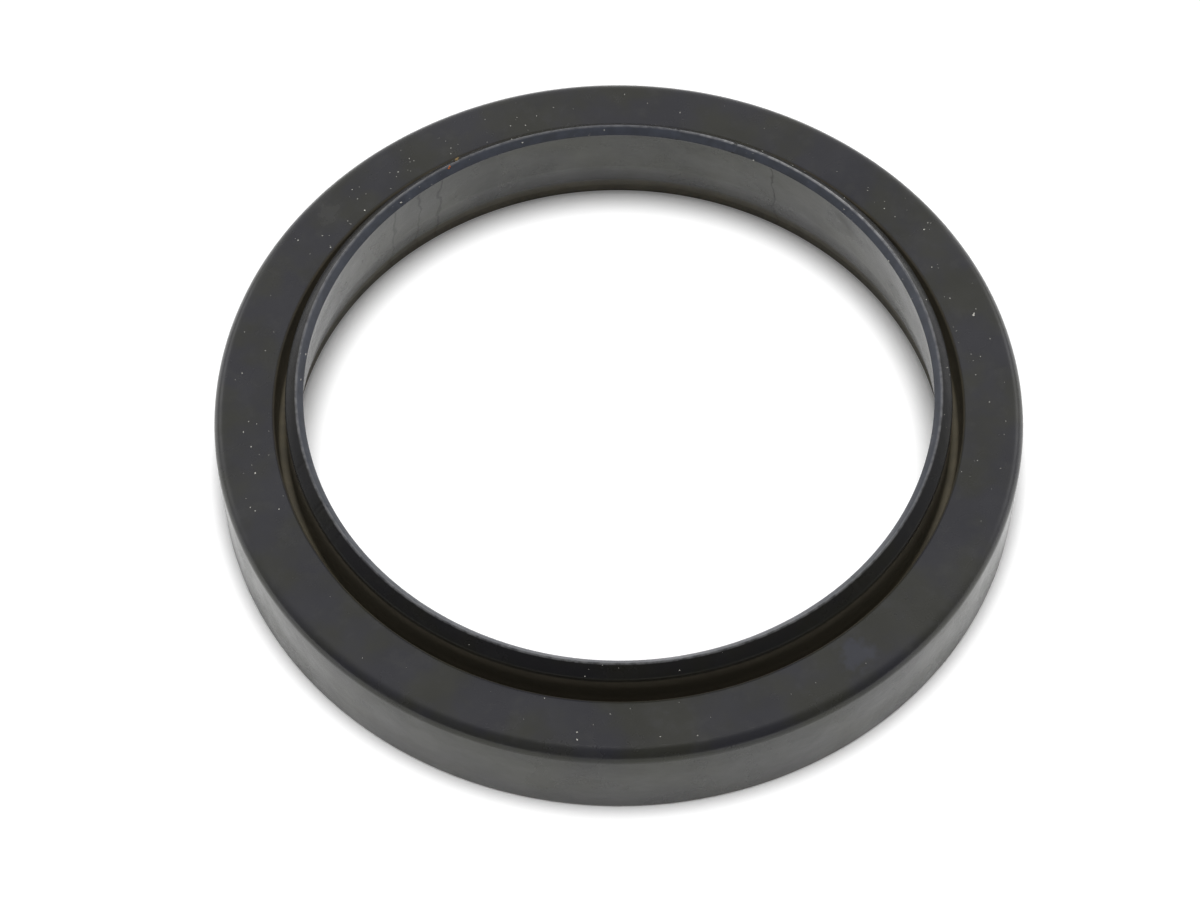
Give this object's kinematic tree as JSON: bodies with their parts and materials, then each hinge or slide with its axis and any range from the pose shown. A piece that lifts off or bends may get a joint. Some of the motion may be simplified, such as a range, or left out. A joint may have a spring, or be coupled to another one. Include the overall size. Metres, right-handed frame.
{
  "type": "u cup seal",
  "caption": "Moulded rubber U-cup rod seal: a ring with a thick flat-topped outer leg, a narrow groove and a thin inner lip that leans inward and stands proud of the leg.",
  "frame": {"origin": "centre of the flat heel face, on the ring's axis", "axes": "+Z along the ring's axis from the heel towards the lips; X and Y lie in the heel face"},
  "size_m": [0.055, 0.055, 0.0089],
  "materials": {
    "black_rubber": "semi-matt moulded surface with handling smears"
  },
  "bodies": {
    "root": {"u_cup_seal": "black_rubber"}
  },
  "joints": []
}
